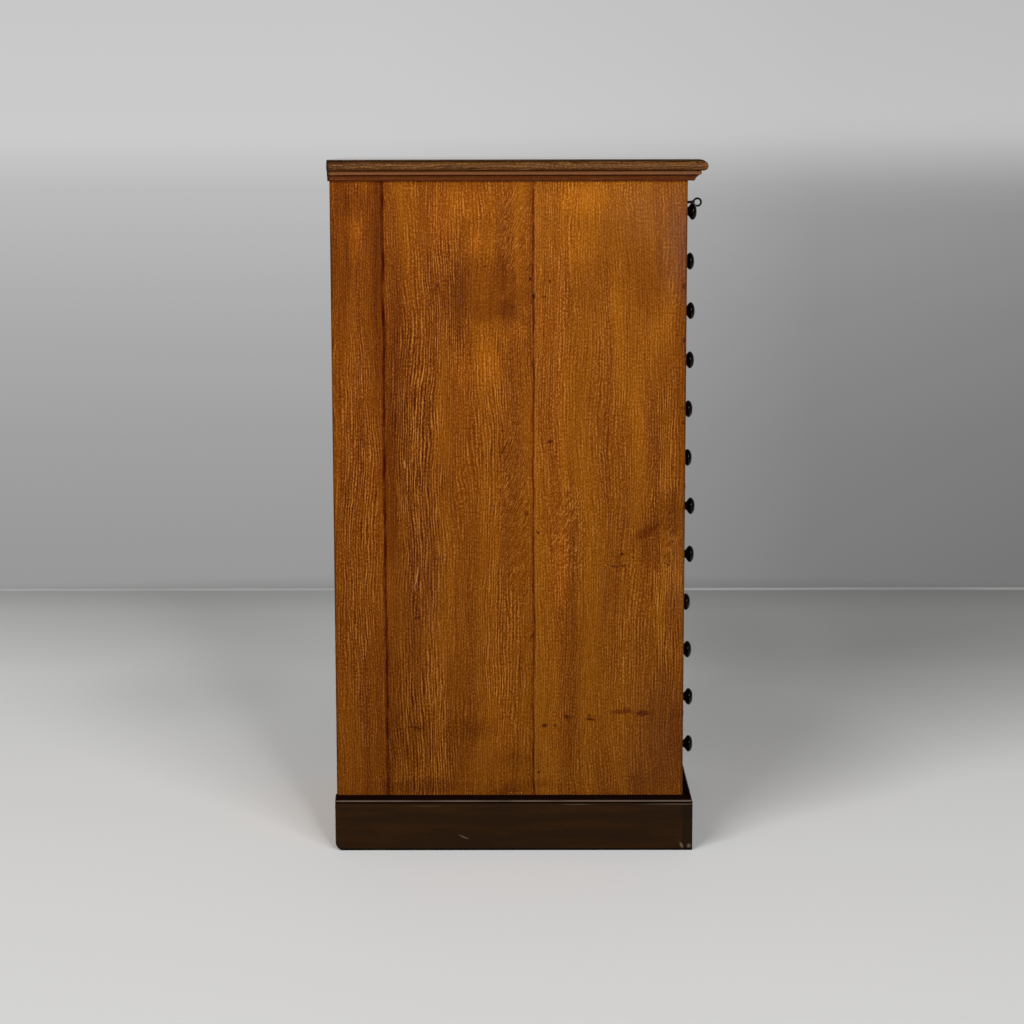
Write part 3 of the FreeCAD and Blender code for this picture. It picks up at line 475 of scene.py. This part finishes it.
# Ebonised wood: a black-brown stain under varnish, rubbed brown on the face, with a pale painted highlight
# along the arris, black in the bevel, and painted shade in the quirk and at the foot.
plinthLook = {
    "stain": "#170d06", "rubbedAndPaintedLight": "#271606", "broadSize": (13, 150), "fineSize": (1.8, 9), "fineShare": 0.55,
    "roughness": 0.3, "specular": 0.03, "bump": 0.00005, "unevenSize": (40, 60),
    "ledge": "#0f0503", "ledgeLines": [(80, 5.2, 1.0), (77, 3.2, 1.0)],
    # painted shade: a dark line in the quirk and a dark band at the foot
    "dirtAndShade": "#050302", "shadeLines": [(71.6, 1.7, 0.9), (0, 4.5, 1.0)],
    # painted highlight: a pale line along the arris
    "arrisHighlight": "#54473e", "arrisHighlightLines": [(74.3, 1.2, 0.85)],
    "end": "#100d07", "endSpan": (503.5, 505), "endDirt": 0.6, "scratchAndHighlight": "#5a4d3c",
    # the three pale lines near 69 mm high, under the quirk, are painted highlights; the rest are scratches
    "scratchesAndHighlights": [
        (185, 20.5, 9, 1.3, -22, 0.3, 0.75), (503, 8, 2.4, 5.5, 25, 0.2, 0.8),
        (514, 7, 3.4, 3.6, 0, 0.2, 0.7), (500, 69.4, 60, 0.9, 0, 0.4, 0.38),
        (350, 69, 26, 0.8, 0, 0.2, 0.4), (130, 67, 30, 0.8, 0, 0.2, 0.3),
    ],
}
# Turned knobs: the same stain, almost black, with a gloss that shows the lamps as small dots
knobLook = {
    "stain": "#010101", "rubbedAndPaintedLight": "#020202", "broadSize": (13, 150), "fineSize": (1.8, 9), "fineShare": 0.55,
    "roughness": 0.05, "specular": 0.11, "bump": 0.00001,
}


def ebonised(name, order, look):
    material, tree, shader = newMaterial(name)
    markedAndShaded = "dirtAndShade" in look
    vector, parts = grainSpace(tree, order)
    broad = streaks(tree, vector, look["broadSize"], 3.0, (0.36, 0.66))
    fine = streaks(tree, vector, look["fineSize"])
    amount = add(tree, "Mix", {0: look["fineShare"], 2: broad, 3: fine}, data_type="FLOAT")
    stain, rubbedAndPaintedLight = linear(look["stain"]), linear(look["rubbedAndPaintedLight"])
    colour = add(tree, "Mix", {0: amount, 6: stain, 7: rubbedAndPaintedLight}, out=2, **tinted)
    if markedAndShaded:
        height = parts["Z"]
        fromBack = add(tree, "Math", {0: caseBack, 1: parts["Y"]}, operation="SUBTRACT")
        face = add(tree, "CombineXYZ", {0: fromBack, 1: height})
        begins, whole = (reach * mm for reach in look["endSpan"])
        joint = add(tree, "MapRange", {0: fromBack, 1: begins, 2: whole, 3: 0.0, 4: look["endDirt"]}, **soft)
        ledge = banded(tree, height, look["ledgeLines"])
        # painted shade in the quirk and at the foot
        dirtAndShade = banded(tree, height, look["shadeLines"])
        # the painted arris highlight and the scratches are uneven along their length
        uneven = streaks(tree, vector, look["unevenSize"], 3.0, (0.3, 0.6), (0.45, 1.0))
        arrisHighlight = banded(tree, height, look["arrisHighlightLines"])
        arrisHighlight = add(tree, "Math", {0: arrisHighlight, 1: uneven}, operation="MULTIPLY")
        scratchAndHighlight = gathered(tree, face, look["scratchesAndHighlights"])
        scratchAndHighlight = add(tree, "Math", {0: scratchAndHighlight, 1: uneven}, operation="MULTIPLY")
        layers = ((joint, "end"), (ledge, "ledge"), (dirtAndShade, "dirtAndShade"), (arrisHighlight, "arrisHighlight"), (scratchAndHighlight, "scratchAndHighlight"))
        for spread, shade in layers:
            colour = add(tree, "Mix", {0: spread, 6: colour, 7: linear(look[shade])}, out=2, **tinted)
    polish(tree, shader, colour, fine, look)
    if markedAndShaded:
        # the bevel and the painted shade in the quirk and at the foot have no shine
        dirtyAndShaded = banded(tree, height, look["ledgeLines"] + look["shadeLines"])
        shine = add(tree, "MapRange", {0: dirtyAndShaded, 3: look["specular"], 4: 0.0})
        tree.links.new(shine, shader.inputs["Specular IOR Level"])
    return material


# Pine: bare wood that age has turned amber, with soft rings and no finish, for what stays out of sight
pineLook = dict(oakLook, light="#a87c47", middle="#956b3b", dark="#79532b", pore="#56371a", fleck="#b68c5a")
pineLook.update(soak="#c8a87c", pale=0.3, deep=0.5, pores=0.12, speckle=0.2, roughness=0.62, specular=0.3)
backLow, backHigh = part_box("back_boards")
backLook = dict(pineLook, across="X", start=backLow.x, pitch=(backHigh.x - backLow.x) / 4)
backLook.update(grainShift=(0.0, 0.83, 0.31), combing=0.6, least=0.84, most=1.04, joint=1.6, jointShade=0.25)

# Metals, each patched with its own tarnish: colour, tarnish, roughness and the size of a patch in millimetres
metalLook = {
    "iron": ("#0d0c0a", "#191511", 0.32, 3),  # blackened in oil, almost without colour
    "brass": ("#a98343", "#6b4f27", 0.30, 4),  # cast and filed, gone brown in patches
    "steel": ("#77736d", "#4c4842", 0.42, 3),  # drawn wire and turned screws, dull grey
}


def metal(name, look):
    material, tree, shader = newMaterial(name)
    base, tarnish, roughness, patch = look
    vector = grainSpace(tree, "XYZ")[0]
    cloud = streaks(tree, vector, (patch, patch), 3.0, (0.38, 0.62))
    colour = add(tree, "Mix", {0: cloud, 6: linear(base), 7: linear(tarnish)}, out=2, **tinted)
    tree.links.new(colour, shader.inputs["Base Color"])
    shader.inputs["Metallic"].default_value = 1.0
    matt = add(tree, "MapRange", {0: cloud, 3: roughness, 4: roughness + 0.2})
    tree.links.new(matt, shader.inputs["Roughness"])
    return material


materials = {
    "left": sideOak("Shellacked oak, left side", True),
    "right": sideOak("Shellacked oak, right side", False),
    "level": plainWood("Shellacked oak, level grain", "ZXY", frontLook),
    "front": separateBoards("Shellacked oak, drawer fronts", "ZXY", frontLook),
    "top": moulding("Polished oak top", "YXZ", edgeLook, topLook),
    "cornice": moulding("Oak moulding", "ZXY", edgeLook),
    "plinthX": ebonised("Ebonised plinth, front", "ZXY", plinthLook),
    "plinthY": ebonised("Ebonised plinth, sides", "ZYX", plinthLook),
    "knob": ebonised("Ebonised turned knob", "ZYX", knobLook),
    "pineX": plainWood("Bare pine, level grain", "ZXY", pineLook),
    "pineY": plainWood("Bare pine, front to back", "ZYX", pineLook),
    "pineZ": plainWood("Bare pine, upright grain", "XZY", pineLook),
    "backs": separateBoards("Bare pine, back boards", "XZY", backLook),
    "iron": metal("Blackened iron", metalLook["iron"]),
    "brass": metal("Aged brass", metalLook["brass"]),
    "steel": metal("Dull steel", metalLook["steel"]),
}
print("materials made:", len(materials))

wearing = {
    "left_side": "left", "right_side": "right", "top_board": "top", "cornice": "cornice", "top_rail": "level",
    "drawer_rails": "level", "carcass_bottom": "level", "plinth_front": "plinthX", "plinth_left": "plinthY",
    "plinth_right": "plinthY", "plinth_back": "pineX", "plinth_blocks": "pineZ", "back_boards": "backs",
    "carcass_top": "pineX", "drawer_runners": "pineY", "top_kickers": "pineY", "drawer_stops": "pineX",
    "key": "iron", "lock_bolt": "brass", "lock_case": "brass", "escutcheon": "brass",
    "lock_screws": "steel", "top_screws": "steel", "back_nails": "steel",
}
endings = {"_front": "front", "_box": "pineY", "_knobs": "knob"}
for name, piece in nodes.items():
    choice = wearing.get(name) or next(kind for ending, kind in endings.items() if name.endswith(ending))
    piece.data.materials.clear()
    piece.data.materials.append(materials[choice])
print("pieces dressed:", len(nodes))

# Camera to the left of the cabinet and just above its top: place in metres, angles in degrees
cameraLook = {
    "place": (-3.69385, 0.00281, 1.03153), "tilt": 8.678, "turn": -0.158, "roll": -0.1055,
    "lens": 86.48, "sensor": 36.0,
}


def placeCamera(look):
    tilt, turn, roll = (math.radians(look[key]) for key in ("tilt", "turn", "roll"))
    ahead = math.cos(turn) * math.cos(tilt)
    sideways = -math.sin(turn) * math.cos(tilt)
    forward = Vector((ahead, sideways, -math.sin(tilt)))
    level = forward.cross(Vector((0, 0, 1))).normalized()
    upright = level.cross(forward)
    across = math.cos(roll) * level + math.sin(roll) * upright
    up = -math.sin(roll) * level + math.cos(roll) * upright
    data = bpy.data.cameras.new("camera")
    data.lens = look["lens"]
    data.sensor_width = look["sensor"]
    camera = bpy.data.objects.new("camera", data)
    turned = Matrix((across, up, -forward)).transposed().to_4x4()
    camera.matrix_world = Matrix.Translation(Vector(look["place"])) @ turned
    bpy.context.scene.collection.objects.link(camera)
    bpy.context.scene.camera = camera


placeCamera(cameraLook)
print("camera placed")


def greys(tree, value, pairs):
    # a grey for each value, in a straight line between the listed points
    first, last = pairs[0][0], pairs[-1][0]
    along = add(tree, "MapRange", {0: value, 1: first, 2: last})
    made = add(tree, "ValToRGB", {0: along})
    points = made.node.color_ramp.elements
    while len(points) < len(pairs):
        points.new(0.5)
    for point, (place, level) in zip(points, pairs):
        point.position = (place - first) / (last - first)
        point.color = (level, level, level, 1)
    return made


# Floor with painted shadows: a matt grey that ends where the studio wall would stand. Away and right are a
# grey for each distance in metres, painted shade that is brightest a metre behind the cabinet and the
# cabinet's shadow to the right behind it, and the shadow pools are darker ovals of painted shadow in
# millimetres.
floorLook = {
    "near": -6.0, "far": 1.90, "half": 6.0, "roughness": 0.8, "specular": 0.1,
    "away": [(-2.0, 0.53), (-1.0, 0.55), (-0.2, 0.66), (0.5, 0.74), (1.0, 0.81), (1.6, 0.70), (1.9, 0.52)],
    "right": [(-0.75, 0.64), (-0.2, 0.70), (0.25, 1.0)], "behind": (0.1, 1.3),
    "edge": "#fafafa", "edgeWide": 0.03, "edgeSize": (30, 400), "shadowGrey": "#808080",
    "shadowPools": [
        (400, -430, 420, 250, 0, 0.2, 0.15), (850, 620, 330, 230, 0, 0.2, 0.1),
        (1300, -430, 420, 170, 0, 0.2, 0.12),
    ],
}


def layFloor(look):
    near, far, half = look["near"], look["far"], look["half"]
    mesh = bpy.data.meshes.new("floor")
    mesh.from_pydata([(near, -half, 0), (far, -half, 0), (far, half, 0), (near, half, 0)], [], [(0, 1, 2, 3)])
    floor = bpy.data.objects.new("floor", mesh)
    material, tree, shader = newMaterial("Floor with painted shadows")
    vector, parts = grainSpace(tree, "XYZ")
    # painted shade: a grey for each distance, brightest a metre behind the cabinet, and the cabinet's shadow
    # to the right behind it; then darker ovals of painted shadow
    colour = greys(tree, parts["X"], look["away"])
    shade = greys(tree, parts["Y"], look["right"])
    first, last = look["behind"]
    behind = add(tree, "MapRange", {0: parts["X"], 1: first, 2: last}, **soft)
    shade = add(tree, "Mix", {0: behind, 6: linear("#ffffff"), 7: shade}, out=2, **tinted)
    colour = add(tree, "Mix", {0: 1.0, 6: colour, 7: shade}, out=2, **multiplied)
    shadowed = gathered(tree, add(tree, "CombineXYZ", {0: parts["X"], 1: parts["Y"]}), look["shadowPools"])
    colour = add(tree, "Mix", {0: shadowed, 6: colour, 7: linear(look["shadowGrey"])}, out=2, **multiplied)
    # a pale line along the far edge, broken along its length
    broken = streaks(tree, vector, look["edgeSize"], 2.0, (0.35, 0.65), (0.25, 0.5))
    atEdge = add(tree, "Math", {0: parts["X"], 1: far - look["edgeWide"]}, operation="GREATER_THAN")
    broken = add(tree, "Math", {0: atEdge, 1: broken}, operation="MULTIPLY")
    colour = add(tree, "Mix", {0: broken, 6: colour, 7: linear(look["edge"])}, out=2, **tinted)
    tree.links.new(colour, shader.inputs["Base Color"])
    shader.inputs["Roughness"].default_value = look["roughness"]
    shader.inputs["Specular IOR Level"].default_value = look["specular"]
    mesh.materials.append(material)
    bpy.context.scene.collection.objects.link(floor)


layFloor(floorLook)
print("floor laid")

# Two big softboxes on the camera's side, the left one stronger, and a small lamp that lights the knobs
lightLook = [  # name, place, width, power, aim
    ("softbox left", (-4.2, 2.6, 2.9), 2.8, 249, (0.0, 0.0, 0.4)),
    ("softbox right", (-4.6, -2.0, 2.9), 2.4, 160, (0.0, 0.0, 0.4)),
    ("small lamp", (-4.0, -0.8, 1.8), 0.4, 42, (0.0, -0.25, 0.5)),
]


def hangLamps(look):
    for name, place, width, power, aim in look:
        data = bpy.data.lights.new(name, "AREA")
        data.size = width
        data.energy = power
        lamp = bpy.data.objects.new(name, data)
        lamp.location = place
        lamp.rotation_mode = "QUATERNION"
        lamp.rotation_quaternion = (Vector(aim) - Vector(place)).to_track_quat("-Z", "Y")
        bpy.context.scene.collection.objects.link(lamp)


hangLamps(lightLook)
print("lamps hung:", len(lightLook))

# Studio wall as a backdrop: pale at the top, with painted shade that makes it greyer below the horizon and to
# the right, dim elsewhere. The spans and the first number of each pair are parts of the direction looked in,
# upward, sideways or ahead.
wallLook = {
    "height": [
        (-0.186, 0.19), (-0.176, 0.31), (-0.12, 0.35), (-0.07, 0.41), (-0.02, 0.50), (0.0, 0.60),
        (0.06, 0.57),
    ],
    "right": [(-0.22, 0.56), (-0.12, 0.64), (-0.06, 0.80), (0.06, 1.0)], "room": "#7c7c7a",
    "horizon": (-0.034, 0.012), "above": 0.26, "ahead": (0.80, 0.93),
}


def paintWall(look):
    world = bpy.data.worlds.new("studio")
    world.use_nodes = True
    tree = world.node_tree
    parts = add(tree, "SeparateXYZ", {0: add(tree, "TexCoord", {}, out="Generated")}).node.outputs
    height = greys(tree, parts[2], look["height"])
    right = greys(tree, parts[1], look["right"])
    below, above = look["horizon"]
    lower = add(tree, "MapRange", {0: parts[2], 1: below, 2: above, 3: 1.0, 4: look["above"]}, **soft)
    shaded = add(tree, "Mix", {0: lower, 6: linear("#ffffff"), 7: right}, out=2, **tinted)
    wall = add(tree, "Mix", {0: 1.0, 6: height, 7: shaded}, out=2, **multiplied)
    beside, ahead = look["ahead"]
    facing = add(tree, "MapRange", {0: parts[0], 1: beside, 2: ahead}, **soft)
    room = add(tree, "Mix", {0: facing, 6: linear(look["room"]), 7: wall}, out=2, **tinted)
    tree.links.new(room, tree.nodes["Background"].inputs["Color"])
    bpy.context.scene.world = world


paintWall(wallLook)
bpy.context.scene.view_settings.view_transform = "Standard"
print("wall painted")
